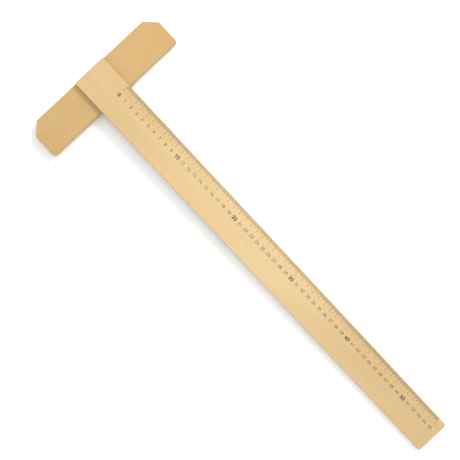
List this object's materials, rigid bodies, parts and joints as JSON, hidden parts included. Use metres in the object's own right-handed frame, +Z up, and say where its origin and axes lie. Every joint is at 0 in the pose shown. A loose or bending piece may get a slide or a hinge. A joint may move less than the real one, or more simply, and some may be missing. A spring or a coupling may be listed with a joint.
{
  "type": "t square",
  "caption": "Wooden drafting T-square: a short head with clipped outer corners under a long flat blade, with a printed centimetre scale along one edge.",
  "frame": {"origin": "on the blade's centreline, where the plane of the head's guide face meets the plane of the blade's underside", "axes": "+X along the blade from the guide face to the tip, +Y towards the edge with the scale, +Z up, out of the drawing side"},
  "size_m": [0.607, 0.2, 0.0142],
  "materials": {
    "beech": "satin varnish",
    "maple": "satin varnish",
    "glue": "dried wood glue",
    "brass": "satin",
    "ink": "printed, under the varnish"
  },
  "bodies": {
    "root": {"head": "beech", "blade": "maple", "glue_film": "glue", "screw_1": "brass", "screw_2": "brass", "screw_3": "brass", "screw_4": "brass", "screw_5": "brass", "millimetre_ticks": "ink", "half_centimetre_ticks": "ink", "centimetre_ticks": "ink", "tens_numerals": "ink", "unit_numerals": "ink"}
  },
  "joints": []
}
